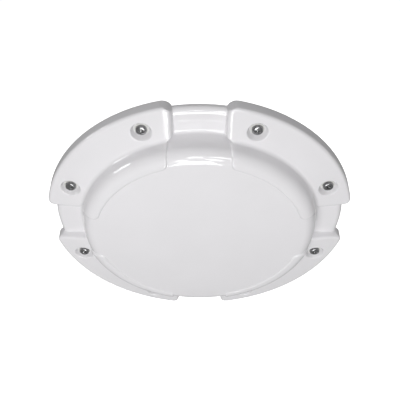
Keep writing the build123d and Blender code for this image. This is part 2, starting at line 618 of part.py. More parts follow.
def main():
    os.makedirs("parts", exist_ok=True)
    insert = tube(INSERT_R, SCREW_BORE_R, FLANGE_TOP - INSERT_L, FLANGE_TOP)
    washer = tube(WASHER_R, SCREW_HOLE_R, SINK_FLOOR, WASHER_TOP)
    save("wall_bracket", wall_bracket())
    save("rear_housing", rear_housing())
    save("front_cover", front_cover())
    save("cover_gasket", cover_gasket())
    save("threaded_inserts", copies(insert, SCREW_CIRCLE_R, SCREW_ANGLES))
    save("screw_washers", copies(washer, SCREW_CIRCLE_R, SCREW_ANGLES))
    save("cover_screws", copies(cover_screw(), SCREW_CIRCLE_R, SCREW_ANGLES))
    save("gland_body", gland_body())
    save("gland_seal", gland_seal())
    save("gland_cap", gland_cap())
    save("gland_washer", tube(GLAND_WASHER_R, GLAND_HOLE_R, GLAND_HEX_TOP, HOUSING_BACK))
    save("gland_locknut", hexagon(HEX_AF, GLAND_HOLE_R, TUB_FLOOR, TUB_FLOOR + LOCKNUT_T))
    save("heat_spreader", disc_with_holes(SPREADER_R, ENGINE_SEAT, THERMAL_BACK))
    save("thermal_pad", disc_with_holes(LED_BOARD_R, THERMAL_BACK, LED_BOARD_BACK))
    save("led_board", disc_with_holes(LED_BOARD_R, LED_BOARD_BACK, LED_BOARD_TOP))
    save("led_chips", led_chips())
    save("led_connector", Pos(0, led_block_y(), LED_BOARD_TOP) * block(*LED_BLOCK))
    save("board_screws", copies(small_screw(BOARD_SCREW_SEAT, BOARD_SCREW_L), POST_CIRCLE_R, POST_ANGLES))
    save("reflector_ring", reflector_ring())
    save("driver_board", driver_board())
    driver_screw = small_screw(DRIVER_TOP, DRIVER_SCREW_L)
    save("driver_screws", copies(driver_screw, DRIVER_POST_CIRCLE_R, DRIVER_POST_ANGLES))
    save("driver_inductor", on_board(inductor(), PART_CIRCLE_R, 0))
    save("driver_capacitors", [on_board(capacitor(), side * CAPACITOR_SPACING / 2, -PART_CIRCLE_R)
                               for side in (-1, 1)])
    save("supply_terminal", on_board(block(9, 15, 9.0), -PART_CIRCLE_R, 0))
    save("output_connector", on_board(block(*OUTPUT_BLOCK), 0, PART_CIRCLE_R))
    save("bridge_rectifier", on_board(block(9, 7, 3.0), *polar(PART_CIRCLE_R, 225)))
    save("driver_controller", on_board(block(6, 5, 1.6, 0.3), *polar(PART_CIRCLE_R, 45)))
    save("led_lead_positive", led_lead(1))
    save("led_lead_negative", led_lead(-1))


main()
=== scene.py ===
# %% [markdown]
# # A surface-mounted pool light, part by part
# The lamp hangs on a wall bracket. Its engineering model holds every fit and every fastener, and the
# pieces built here stand on that model and give its surfaces the shape and finish that the eye sees.
# We load the model first, because every size below is read from it or measured from it.

import math

import bmesh
import bpy
import mathutils
import numpy as np
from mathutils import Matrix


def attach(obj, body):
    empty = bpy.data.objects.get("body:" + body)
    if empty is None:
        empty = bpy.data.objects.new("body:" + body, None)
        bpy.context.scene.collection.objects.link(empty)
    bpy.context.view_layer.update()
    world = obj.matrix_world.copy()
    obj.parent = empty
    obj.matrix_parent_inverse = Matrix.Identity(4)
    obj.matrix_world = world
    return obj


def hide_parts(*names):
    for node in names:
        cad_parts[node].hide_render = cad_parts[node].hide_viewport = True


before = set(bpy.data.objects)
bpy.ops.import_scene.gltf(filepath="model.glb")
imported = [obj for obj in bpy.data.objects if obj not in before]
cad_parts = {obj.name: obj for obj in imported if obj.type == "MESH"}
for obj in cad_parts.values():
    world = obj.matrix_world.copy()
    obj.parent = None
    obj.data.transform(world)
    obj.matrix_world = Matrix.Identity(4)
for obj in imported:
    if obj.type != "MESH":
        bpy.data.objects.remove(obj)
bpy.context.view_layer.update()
MM = 0.001

# %% [markdown]
# ## Lamp coordinates
# The lamp is round, so it is easiest to describe in its own terms: a radius from its axis, an angle
# from straight up, and a distance from the pool wall. The wall is the plane y = 0 and the lamp looks
# along -Y. A small helper turns those three numbers into scene coordinates, and another reads the
# same numbers off a node of the engineering model.

# %% From lamp coordinates to the scene
def place(radius, angle, distance):
    """Scene points in metres: x = radius sin(angle), y = -distance, z = radius cos(angle)."""
    radius, angle, distance = np.broadcast_arrays(radius, angle, distance)
    points = np.stack([radius * np.sin(angle), -distance, radius * np.cos(angle)], axis=-1)
    return points * MM


def measure(node):
    """Least and greatest radius, then least and greatest distance from the wall, in millimetres."""
    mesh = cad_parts[node].data
    points = np.empty(3 * len(mesh.vertices))
    mesh.vertices.foreach_get("co", points)
    x, y, z = points.reshape(-1, 3).T / MM
    radius = np.hypot(x, z)
    return radius.min(), radius.max(), -y.max(), -y.min()


_, RIM_R, COVER_BACK, DOME_TOP = measure("front_cover")
washer_near, washer_far, SINK_FLOOR, WASHER_TOP = measure("screw_washers")
_, FLANGE_R, _, FLANGE_TOP = measure("rear_housing")
SCREW_CIRCLE = (washer_near + washer_far) / 2
WASHER_R = (washer_far - washer_near) / 2
print(f"rim {RIM_R:.1f}, screw circle {SCREW_CIRCLE:.1f}, washer {WASHER_R:.1f} mm")
print(f"dome top {DOME_TOP:.1f}, washer top {WASHER_TOP:.1f}, flange {FLANGE_TOP:.1f} mm from the wall")

# %% [markdown]
# ## From arrays to a mesh
# A surface is a grid of points, worked out as whole arrays. Each cell of the grid becomes a
# four-sided face. A closed solid has to have its faces pointing outwards, and its signed volume says
# whether they do: the sum of the tetrahedra from the origin to every face is positive then.

# %% Mesh helper
def flipped_outwards(points, faces):
    """The faces, turned round if the volume they enclose comes out negative."""
    a, b, c, d = (points[faces[:, k]] for k in range(4))
    volume = np.einsum("ij,ij->", a, np.cross(b, c)) + np.einsum("ij,ij->", a, np.cross(c, d))
    return faces if volume > 0 else faces[:, ::-1]


def make_piece(name, points, faces, body, replaced=(), crease=35.0):
    """A mesh object with smooth faces, riding on a body. A face is four indices, and a triangle
    repeats its last one. Edges sharper than the crease angle stay sharp."""
    faces = flipped_outwards(points, faces)
    triangle = faces[:, 2] == faces[:, 3]
    counts = np.where(triangle, 3, 4)
    keep = np.ones(faces.shape, bool)
    keep[triangle, 3] = False
    mesh = bpy.data.meshes.new(name)
    mesh.vertices.add(len(points))
    mesh.vertices.foreach_set("co", points.astype(np.float32).ravel())
    mesh.loops.add(int(counts.sum()))
    mesh.loops.foreach_set("vertex_index", faces[keep].astype(np.int32))
    mesh.polygons.add(len(faces))
    mesh.polygons.foreach_set("loop_start", (np.cumsum(counts) - counts).astype(np.int32))
    mesh.update(calc_edges=True)
    mesh.validate()
    mesh.polygons.foreach_set("use_smooth", np.ones(len(mesh.polygons), bool))
    mesh.set_sharp_from_angle(angle=math.radians(crease))
    piece = bpy.data.objects.new(name, mesh)
    bpy.context.scene.collection.objects.link(piece)
    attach(piece, body)
    if replaced:
        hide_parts(*replaced)
    print(f"{name}: {len(points)} points, {int((counts - 2).sum())} triangles")
    return piece


# %% [markdown]
# ## Camera, floor and light
# The camera looks down at the lamp from in front of its upper edge, so the round rim becomes an
# ellipse. One large soft light ahead shades the lamp, and a weaker one behind does so for its back.
# Glossy white plastic could be lit by a bright sky alone, but its curves show only by what they
# reflect. So a few window panes stand round it for their reflections: they put the bright patches
# on the dome's brow and on a pad's shoulder, and give no other light. The floor and the backdrop
# are plain white sheets for the camera to see, and don't tint the lamp.

# %% Camera
CAMERA_ELEVATION = math.radians(48.36)
CAMERA_DISTANCE = 4.908 * SCREW_CIRCLE * MM
CAMERA_LENS = 60.15
TARGET_SIDE = 0.5                   # the point that the camera looks at, in millimetres
TARGET_AHEAD = FLANGE_TOP + 7.6
TARGET_UP = 0.2333 * SCREW_CIRCLE
TARGET = (TARGET_SIDE * MM, -TARGET_AHEAD * MM, TARGET_UP * MM)

camera_data = bpy.data.cameras.new("camera")
camera_data.lens = CAMERA_LENS
camera_data.sensor_width = 36.0
camera = bpy.data.objects.new("camera", camera_data)
camera.location = (
    TARGET[0],
    TARGET[1] - CAMERA_DISTANCE * math.cos(CAMERA_ELEVATION),
    TARGET[2] + CAMERA_DISTANCE * math.sin(CAMERA_ELEVATION),
)
camera.rotation_euler = (math.pi / 2 - CAMERA_ELEVATION, 0, 0)
bpy.context.scene.collection.objects.link(camera)
bpy.context.scene.camera = camera
print(f"camera {CAMERA_DISTANCE:.3f} m from its target, {math.degrees(CAMERA_ELEVATION):.1f} degrees up")

# %% Lights
LAMP_FRONT = mathutils.Vector((0.0, -0.06, 0.02))
PANE_DISTANCE = 1.0
PANE_RADIANCE = 7.5


def soft_light(name, azimuth, elevation, distance, wide, high, radiance):
    """A rectangular light aimed at the lamp's front. Azimuth runs from straight ahead towards +X,
    and wide and high are the angles that it fills, all in degrees. Its side is twice the distance
    times the tangent of half its angle, and its power is the radiance times pi times its area."""
    azimuth, elevation = math.radians(azimuth), math.radians(elevation)
    towards = mathutils.Vector((
        math.cos(elevation) * math.sin(azimuth),
        -math.cos(elevation) * math.cos(azimuth),
        math.sin(elevation),
    ))
    data = bpy.data.lights.new(name, "AREA")
    data.shape = "RECTANGLE"
    data.size = 2 * distance * math.tan(math.radians(wide / 2))
    data.size_y = 2 * distance * math.tan(math.radians(high / 2))
    data.energy = radiance * math.pi * data.size * data.size_y
    light = bpy.data.objects.new(name, data)
    light.location = LAMP_FRONT + distance * towards
    light.rotation_euler = (-towards).to_track_quat("-Z", "Y").to_euler()
    light.visible_camera = False
    bpy.context.scene.collection.objects.link(light)
    return light


key = soft_light("key", -8, 18, 1.5, 40, 36, 5.65)
key.visible_glossy = False
rear = soft_light("rear_fill", 180, -6, 1.6, 30, 30, 4.0)
rear.visible_glossy = False
# each pane's azimuth, elevation, width and height in degrees
PANES = {
    "low": (-1, -15, 13, 28),
    "slant_low": (-9, 6, 6, 14),
    "slant_high": (-3, 28, 9, 12),
    "right_low": (8, 14, 9, 12),
    "right_high": (18, 33, 17, 7),
    "left_side": (-92, 24, 12, 16),
}
for name, (azimuth, elevation, wide, high) in PANES.items():
    pane = soft_light(f"window_{name}", azimuth, elevation, PANE_DISTANCE, wide, high, PANE_RADIANCE)
    pane.visible_diffuse = False

world = bpy.data.worlds.new("studio")
bpy.context.scene.world = world
world.use_nodes = True
sky = world.node_tree.nodes["Background"]
sky.inputs["Color"].default_value = (1.0, 1.0, 1.0, 1)
sky.inputs["Strength"].default_value = 0.31
bpy.context.scene.view_settings.view_transform = "Standard"
print(f"2 soft lights and {len(PANES)} window panes")

# %% Floor and backdrop
FLOOR_DROP = 0.9
ROOM_R = 7.0
SHEET_STEPS = 64
SHEET_GLOW = 0.75


def white_sheet(name, rings):
    """A white sheet turned about the vertical axis, from rings of (radius, height) in metres."""
    turn = np.arange(SHEET_STEPS) * 2 * math.pi / SHEET_STEPS
    radius, height = np.array(rings).T[:, :, None]
    across = radius * np.cos(turn)
    along = radius * np.sin(turn)
    points = np.stack([across, along, np.broadcast_to(height, across.shape)], axis=-1)
    ring, step = np.meshgrid(np.arange(len(rings) - 1), np.arange(SHEET_STEPS), indexing="ij")
    here = ring * SHEET_STEPS + step
    beside = ring * SHEET_STEPS + (step + 1) % SHEET_STEPS
    faces = np.stack([here, beside, beside + SHEET_STEPS, here + SHEET_STEPS], axis=-1)
    mesh = bpy.data.meshes.new(name)
    mesh.from_pydata(points.reshape(-1, 3).tolist(), [], faces.reshape(-1, 4).tolist())
    sheet = bpy.data.objects.new(name, mesh)
    bpy.context.scene.collection.objects.link(sheet)
    sheet.visible_diffuse = False
    sheet.visible_glossy = False
    paint = bpy.data.materials.new(name + " paint")
    paint.use_nodes = True
    shader = paint.node_tree.nodes["Principled BSDF"]
    shader.inputs["Base Color"].default_value = (0.8, 0.8, 0.8, 1)
    shader.inputs["Roughness"].default_value = 0.9
    shader.inputs["Emission Color"].default_value = (1, 1, 1, 1)
    shader.inputs["Emission Strength"].default_value = SHEET_GLOW
    mesh.materials.append(paint)
    print(f"{name}: {len(mesh.polygons)} faces")


MIDDLE_R = 0.0001
white_sheet("floor", [(MIDDLE_R, -FLOOR_DROP), (ROOM_R, -FLOOR_DROP)])
NEARLY_UPRIGHT = math.pi / 2 - 0.0001
rise = np.linspace(0, NEARLY_UPRIGHT, 12)
white_sheet("backdrop", list(zip(ROOM_R * np.cos(rise), ROOM_R * np.sin(rise) - FLOOR_DROP)))

# %% [markdown]
# ## The opal cover: its section lines
# The front cover is one moulding. Between its pads the section is a shallow face, a rounded brow, a
# steep shoulder, a small fillet at the foot and a flat channel floor. Over the pads a second line
# runs a few millimetres higher. Such a cover could be cut and bevelled from solids, but its fillets
# run into each other, so we work its front out as a height over radius and angle instead, which
# stays smooth everywhere. A section is written as its corners, and every corner gets its rounding:
# an arc tangent to both sides. Looking the height up on that line gives it at any radius.

# %% Rounded section lines
def rounded_line(corners, steps=16):
    """Points of a line with rounded corners. A corner is (across, up, rounding). The arc starts at
    rounding * tan(turn / 2) from the corner, and its centre lies on the corner's bisector."""
    corners = np.array(corners, float)
    line = [corners[0, :2]]
    for before, here, after in zip(corners[:-2], corners[1:-1], corners[2:]):
        back = (before[:2] - here[:2]) / np.linalg.norm(before[:2] - here[:2])
        ahead = (after[:2] - here[:2]) / np.linalg.norm(after[:2] - here[:2])
        half = math.acos(np.clip(back @ ahead, -1, 1)) / 2
        bisector = (back + ahead) / np.linalg.norm(back + ahead)
        centre = here[:2] + bisector * here[2] / math.sin(half)
        start = here[:2] + back * here[2] / math.tan(half) - centre
        end = here[:2] + ahead * here[2] / math.tan(half) - centre
        share = np.linspace(0, 1, steps)[:, None]
        turn = math.pi - 2 * half
        arc = (np.sin((1 - share) * turn) * start + np.sin(share * turn) * end) / math.sin(turn)
        line.append(centre + arc)
    line.append(corners[-1, :2])
    return np.vstack(line)


# %% The cover's sizes, in millimetres
CHANNEL_R = RIM_R - 7.0             # outer edge of a channel's floor
CHANNEL_FLOOR = FLANGE_TOP + 3.8
PAD_RIM = FLANGE_TOP + 7.7          # a pad's top, just past the rim
PAD_BASE = FLANGE_TOP + 12.0        # a pad's top, at the shoulder's foot
BROW = FLANGE_TOP + 27.7
FOOT_R = SCREW_CIRCLE - 14.3        # the shoulder's foot
BROW_R = FOOT_R - 4.3
PAD_INNER_R = BROW_R - 11.6         # the arc where a pad ends on the face
PAD_BROW_R = BROW_R + 1.3
PAD_STEP = 1.3                      # a pad's thickness on the face
PAD_BROW = BROW + 0.8
BROW_ROUND = 12.0
FOOT_ROUND = 3.5
FACE_EDGE = BROW_R - 12.0           # where the face's bow gives way to the brow
PAD_TOP_IN = PAD_INNER_R - 8.0
BEYOND_RIM = RIM_R + 5.0
FACE_BOW = (DOME_TOP - BROW) / BROW_R**2


def face_height(radius):
    """The dome's face is a shallow bowl turned over: its height falls with the radius squared."""
    return DOME_TOP - FACE_BOW * radius**2


face_radii = np.linspace(0, FACE_EDGE, 40)
face_points = np.stack([face_radii, face_height(face_radii)], axis=-1)
shoulder = rounded_line([
    (FACE_EDGE, face_height(FACE_EDGE), 0),
    (BROW_R, BROW, BROW_ROUND),
    (FOOT_R, CHANNEL_FLOOR, FOOT_ROUND),
    (BEYOND_RIM, CHANNEL_FLOOR, 0),
])
floor_line = np.vstack([face_points[:-1], shoulder])
pad_line = rounded_line([
    (PAD_TOP_IN, face_height(PAD_TOP_IN) + PAD_STEP, 0),
    (PAD_BROW_R, PAD_BROW, BROW_ROUND),
    (FOOT_R, PAD_BASE, FOOT_ROUND),
    (BEYOND_RIM, PAD_RIM, 0),
])


def floor_height(radius):
    """Height of the face, the shoulder and the channel floor at a radius."""
    return np.interp(radius, floor_line[:, 0], floor_line[:, 1])


def pad_height(radius):
    """Height of a pad's top at a radius."""
    return np.interp(radius, pad_line[:, 0], pad_line[:, 1])


print(f"section lines: {len(floor_line)} points over the channels, {len(pad_line)} over the pads")

# %% [markdown]
# ## The opal cover: pads and channels
# A pad is bounded by two channels, by the rim and by an arc on the dome's face. The height near its
# edge depends only on how far inside that outline a point lies, so we need that distance. Inside a
# rounded corner it is the corner's radius less the distance from the corner's centre. The pad's side
# then falls away as a rounded edge and a 75 degree draft, and it meets the channel floor in a fillet,
# which a smooth maximum of the two heights gives: where they differ by less than the fillet's
# width, the larger one is lifted by a parabola of their difference.

# %% Distances and blends
PAD_CORNER = 8.0                    # a pad's corners at the rim, seen from the front
PAD_INNER_CORNER = 5.0              # and on the face
CHANNEL_FOOT = 22.0                 # half of the channel's width, beyond the shoulder
DOME_CHANNEL_FOOT = 26.0            # and on the dome
SIDE_DRAFT = math.radians(15)       # how far a pad's side leans from upright
SIDE_REFERENCE = 5.0                # how far below the top the width is measured
SIDE_DROP = 14.0
PAD_MIDDLE = 60.0
SIDE_ROUND = 3.0
SIDE_FILLET = 1.6
PAD_EDGE_ROUND = 2.8
CHANNEL_EDGE_ROUND = 5.0
FACE_CRISPNESS = 1.8                # how much smaller the roundings are on the face
WIDENING = (FOOT_R - 0.8, FOOT_R + 1.6)
SOFTENING = (BROW_R - 6.0, BROW_R + 2.0)
THINNEST_PAD = 0.1

side_corner = SIDE_REFERENCE * math.tan(SIDE_DRAFT)
side_line = rounded_line([
    (side_corner - SIDE_DROP * math.tan(SIDE_DRAFT), -SIDE_DROP, 0),
    (side_corner, 0, SIDE_ROUND),
    (PAD_MIDDLE, 0, 0),
])
print(f"a pad's side: {len(side_line)} points")


def ease(value, low, high):
    """0 below low, 1 above high, and 3t^2 - 2t^3 between."""
    share = np.clip((value - low) / (high - low), 0, 1)
    return share * share * (3 - 2 * share)


def half_width(radius):
    """Half of a channel's width: it widens where it starts to climb the shoulder."""
    wider = 1 - ease(radius, *WIDENING)
    return CHANNEL_FOOT + (DOME_CHANNEL_FOOT - CHANNEL_FOOT) * wider


def inside_corner(first, second, radius):
    """Distance inside an outline near the rounded corner of two sides: beside the corner it is the
    radius less the distance from the corner's centre, and elsewhere the nearer side's distance."""
    over_first, over_second = radius - first, radius - second
    outside = np.hypot(np.maximum(over_first, 0), np.maximum(over_second, 0))
    return radius - outside - np.minimum(np.maximum(over_first, over_second), 0)


def smooth_max(first, second, width):
    """The larger of two heights, lifted by (width - |difference|)^2 / (4 width) where they are close."""
    close = np.maximum(width - np.abs(first - second), 0)
    return np.maximum(first, second) + close**2 / (4 * width)


def cover_height(radius, angle):
    """Height of the cover's front at a radius and an angle from a channel's middle, up to 45
    degrees: the smooth maximum of the floor and the pad. The rounding at the rim then lowers it by
    rounding - sqrt(rounding^2 - over^2), where over is how far the point is past the edge's start."""
    side = radius * np.sin(angle) - half_width(radius)
    over_pad = inside_corner(side, radius - PAD_INNER_R, PAD_INNER_CORNER)
    crisp = 1 + (FACE_CRISPNESS - 1) * (1 - ease(radius, *SOFTENING))
    pad = pad_height(radius) + np.interp(over_pad * crisp, side_line[:, 0], side_line[:, 1]) / crisp
    low = floor_height(radius)
    height = smooth_max(low, pad, SIDE_FILLET / crisp)
    raised = np.clip((height - low) / np.maximum(pad_height(radius) - low, THINNEST_PAD), 0, 1)
    to_pad_rim = inside_corner(side, RIM_R - radius, PAD_CORNER)
    to_rim = np.maximum(to_pad_rim, CHANNEL_R - radius)
    rounding = CHANNEL_EDGE_ROUND + (PAD_EDGE_ROUND - CHANNEL_EDGE_ROUND) * raised
    over_edge = np.clip(rounding - to_rim, 0, rounding)
    return height - (rounding - np.sqrt(rounding**2 - over_edge**2))


def rim_radius(angle):
    """The cover's outline: the channel's circle, then the pad's rounded corner, then the rim. A ray
    at an angle turn from the corner's centre leaves its circle at reach + sqrt(corner^2 - off^2),
    where reach and off are that centre's distance along the ray and beside it."""
    corner_x = CHANNEL_FOOT + PAD_CORNER
    corner_z = math.sqrt((RIM_R - PAD_CORNER) ** 2 - corner_x**2)
    corner_angle = math.atan2(corner_x, corner_z)
    turn = np.minimum(angle - corner_angle, 0)
    reach = (RIM_R - PAD_CORNER) * np.cos(turn)
    off = (RIM_R - PAD_CORNER) * np.sin(turn)
    corner = reach + np.sqrt(np.maximum(PAD_CORNER**2 - off**2, 0))
    return np.where(np.abs(off) <= PAD_CORNER, np.maximum(corner, CHANNEL_R), CHANNEL_R)


# %% [markdown]
# ## The opal cover: a grid that follows its features
# A plain polar grid would cut across the channel walls in steps, and a much finer one would only
# make the steps smaller. Here the grid's lines run along the walls instead: some lines share out the
# channel, a dense bundle follows the wall, and the rest share out the pad. The rows follow circles,
# and near the rim they bend to follow the outline.

# %% Lines and rows of one eighth of the cover
WALL_OFFSETS = np.array([-1.6, -1.0, -0.5, 0.0, 0.4, 0.8, 1.2, 1.7, 2.3, 3.1, 4.2])
CHANNEL_LINES = 10                  # from the channel's middle to its wall
CORNER_LINES = 9                    # from the wall to the pocket
POCKET_LINES = 12                   # across the pocket
FAR_LINES = 8                       # from the pocket to the pad's middle
POCKET_REACH = 12.0                 # half of the block of cells round a screw
OUTLINE_START = CHANNEL_R - 6.7     # beyond this the rows follow the outline
LINES_TURN_AT = PAD_INNER_R - 6.0
POCKET_ROW_IN = SCREW_CIRCLE - 11.0
POCKET_ROW_OUT = SCREW_CIRCLE + 11.0

channel_share = np.linspace(0, 1, CHANNEL_LINES + 1)[:-1]
wall_end = math.asin((CHANNEL_FOOT + WALL_OFFSETS[-1]) / SCREW_CIRCLE)
pocket_angle = math.radians(22.5)
reach_angle = POCKET_REACH / SCREW_CIRCLE
pocket_from = (pocket_angle - reach_angle - wall_end) / (math.pi / 4 - wall_end)
pocket_to = (pocket_angle + reach_angle - wall_end) / (math.pi / 4 - wall_end)
GROWTH = 1.15
growing = (GROWTH ** np.arange(1, CORNER_LINES + 1) - 1) / (GROWTH**CORNER_LINES - 1)
pad_share = np.concatenate([
    pocket_from * growing,
    np.linspace(pocket_from, pocket_to, POCKET_LINES + 1)[1:],
    np.linspace(pocket_to, 1, FAR_LINES + 1)[1:],
])
FIRST_POCKET_LINE = CHANNEL_LINES + len(WALL_OFFSETS) - 1 + CORNER_LINES
LINES = CHANNEL_LINES + len(WALL_OFFSETS) - 1 + len(pad_share)


def line_angles(radius):
    """Angles of one eighth's lines at each radius, LINES + 1 of them from 0 to 45 degrees. A line
    beside the channel keeps its distance from the middle, so its angle is arcsin(distance / radius).
    Inside a certain radius the angles stay as they are there, and the lines run to the middle."""
    radius = np.maximum(np.atleast_1d(radius), LINES_TURN_AT)[:, None]
    wall_x = half_width(radius) + WALL_OFFSETS
    channel_x = (half_width(radius) + WALL_OFFSETS[0]) * channel_share
    wall = np.arcsin(wall_x / radius)
    pad = wall[:, -1:] + (math.pi / 4 - wall[:, -1:]) * pad_share
    return np.hstack([np.arcsin(channel_x / radius), wall, pad])


def whole_turn(eighth):
    """Angles of the whole circle, from those of one eighth: each eighth is followed by its mirror."""
    quarter = np.hstack([eighth[:, :-1], math.pi / 2 - eighth[:, :0:-1]])
    return np.hstack([quarter + k * math.pi / 2 for k in range(4)])


def whole_copy(eighth):
    """The same for a value that doesn't change in the mirror, such as a height."""
    return np.tile(np.hstack([eighth[:, :-1], eighth[:, :0:-1]]), 4)


# %% Rows of the cover's front, from its middle to the rim
FACE_ROWS = (8, 20, 32, 44, 56, 67, 77, 84, PAD_INNER_R - 4.5, PAD_INNER_R - 3.0)
SHOULDER_FROM = PAD_INNER_R - 1.5
SHOULDER_TO = FOOT_R + 2.6
SHOULDER_ROWS = 60
FLAT_ROWS = 9
POCKET_ROWS = 12
EDGE_ROWS = 10
travel = np.concatenate([[0], np.cumsum(np.hypot(*np.diff(floor_line, axis=0).T))])
shoulder_ends = np.interp([SHOULDER_FROM, SHOULDER_TO], floor_line[:, 0], travel)
# the shoulder's rows are even steps along the section line, not along the radius
front_radii = np.concatenate([
    FACE_ROWS,
    np.interp(np.linspace(*shoulder_ends, SHOULDER_ROWS), travel, floor_line[:, 0])[:-1],
    np.linspace(SHOULDER_TO, POCKET_ROW_IN, 3)[:-1],
    np.linspace(POCKET_ROW_IN, OUTLINE_START, FLAT_ROWS),
])
pocket_row_share = (POCKET_ROW_OUT - OUTLINE_START) / (RIM_R - OUTLINE_START)
edge_turn = np.linspace(0, math.pi / 2, EDGE_ROWS + 1)[1:]
outline_share = np.concatenate([
    np.linspace(0, pocket_row_share, POCKET_ROWS - FLAT_ROWS + 2)[1:],
    pocket_row_share + (1 - pocket_row_share) * np.sin(edge_turn),
])
FIRST_POCKET_ROW = len(front_radii) - FLAT_ROWS
print(f"one eighth: {LINES} lines, {len(front_radii) + len(outline_share)} rows")


def front_grid():
    """Radii, angles and heights of the front's rows, for one eighth. The inner rows are circles, and
    each outer one lies at its share of the way from the last circle to the outline."""
    inner_angle = line_angles(front_radii)
    inner_radius = np.broadcast_to(front_radii[:, None], inner_angle.shape)
    nominal = OUTLINE_START + (CHANNEL_R - OUTLINE_START) * outline_share
    outer_angle = line_angles(nominal)
    outer_radius = OUTLINE_START + (rim_radius(outer_angle) - OUTLINE_START) * outline_share[:, None]
    angle = np.vstack([inner_angle, outer_angle])
    radius = np.vstack([inner_radius, outer_radius])
    return radius, angle, cover_height(radius, angle)


# %% [markdown]
# ## The opal cover: skirt, underside and screw pockets
# The rows go on over the rim: down the skirt, round its lower edge, up inside it, along the
# underside and up the hollow of the dome, so the cover is one closed shell. Where a screw goes
# through, a block of cells is left out of the front and of the underside. One patch joins the two
# gaps: its rings turn from the block's outline into a circle, drop over the pocket's lip to its
# floor, and go down the hole.

# %% Rows behind the front
SKIRT_WALL = 2.7
SKIRT_ROUND = 0.8
SEAT = FLANGE_TOP + 0.3
SEAT_EASE = 0.4
COVER_WALL = 3.2
HOLLOW_ROUND = 8.0
HOLLOW_FACE_R = BROW_R - 25.0
HOLLOW_ROWS = (58, 44, 30, 16, 6)
SKIRT_IN_R = CHANNEL_R - SKIRT_WALL
HOLE_ROW_IN = SCREW_CIRCLE - 8.0
HOLE_ROW_OUT = SCREW_CIRCLE + 7.0
SKIRT_SHARES = (0.25, 0.5, 0.75, 1.0)          # rows down the skirt
SKIRT_TURNS = (0.4, 0.8, 1.2, math.pi / 2)     # rows round its lower edge, as angles
skirt_circles = [(SKIRT_IN_R, COVER_BACK), (SKIRT_IN_R, SEAT - 0.5), (SKIRT_IN_R - SEAT_EASE, SEAT)]


def hollow_line():
    """Section of the dome's hollow: the front's shoulder and brow, moved in by the wall. Along the
    radius the shoulder moves by the wall divided by the sine of its steepness."""
    slope = (FOOT_R - BROW_R) / (BROW - CHANNEL_FLOOR)
    foot = FOOT_R - COVER_WALL / math.sin(math.atan(1 / slope))
    ceiling = BROW - COVER_WALL
    return rounded_line([
        (foot - slope * (SEAT - CHANNEL_FLOOR), SEAT, 0),
        (foot - slope * (ceiling - CHANNEL_FLOOR), ceiling, HOLLOW_ROUND),
        (HOLLOW_FACE_R, face_height(HOLLOW_FACE_R) - COVER_WALL, 0),
    ], steps=7)


def back_grid(rim_angle, rim_line, rim_height):
    """Rows from the rim's edge to the middle of the dome's hollow, for one eighth: straight down the
    skirt, a quarter turn under its edge, and then one circle after another."""
    bottom = COVER_BACK + SKIRT_ROUND
    rows = []
    for share in SKIRT_SHARES:
        rows.append((rim_line, rim_angle, rim_height + (bottom - rim_height) * share))
    for turn in SKIRT_TURNS:
        inner_line = rim_line - SKIRT_ROUND * (1 - math.cos(turn))
        rows.append((inner_line, rim_angle, np.full_like(rim_line, bottom - SKIRT_ROUND * math.sin(turn))))
    circles = list(skirt_circles)
    circles += [(radius, SEAT) for radius in np.linspace(HOLE_ROW_OUT, HOLE_ROW_IN, POCKET_ROWS + 1)]
    circles += list(hollow_line())
    circles += [(radius, face_height(radius) - COVER_WALL) for radius in HOLLOW_ROWS]
    for radius, height in circles:
        rows.append((np.full_like(rim_line, radius), line_angles(radius)[0], np.full_like(rim_line, height)))
    return tuple(np.array(column) for column in zip(*rows))


front = front_grid()
back = back_grid(front[1][-1], front[0][-1], front[2][-1])
grid_radius, grid_angle, grid_height = (np.vstack(pair) for pair in zip(front, back))
grid_points = place(whole_copy(grid_radius), whole_turn(grid_angle), whole_copy(grid_height))
ROWS, ROUND = grid_points.shape[:2]
FIRST_HOLE_ROW = len(front[0]) + len(SKIRT_SHARES) + len(SKIRT_TURNS) + len(skirt_circles)
print(f"cover grid: {ROWS} rows of {ROUND}")


# %% Pocket patches
def block_outline(row, line, rows, lines):
    """Indices round a block of cells, in order, starting at its first row and line."""
    top = [(row, line + k) for k in range(lines)]
    right = [(row + k, line + lines) for k in range(rows)]
    bottom = [(row + rows, line + lines - k) for k in range(lines)]
    left = [(row + rows - k, line) for k in range(rows)]
    ring = np.array(top + right + bottom + left)
    return ring[:, 0] * ROUND + ring[:, 1] % ROUND


SINK_R = WASHER_R + 0.6             # the pocket's floor
SINK_FLARE = 2.3                    # how much wider the pocket is at its mouth
SINK_DEPTH = 4.8
HOLE_R = 2.9
LIP = 1.8
# the pocket's section as (reach from the screw, share of the depth), from the lip to the hole
pocket_line = rounded_line([
    (SINK_R + SINK_FLARE + LIP, SINK_DEPTH, 0),
    (SINK_R + SINK_FLARE, SINK_DEPTH, 1.3),
    (SINK_R, 0, 0.8),
    (HOLE_R, 0, 0),
], steps=6) / [1, SINK_DEPTH]


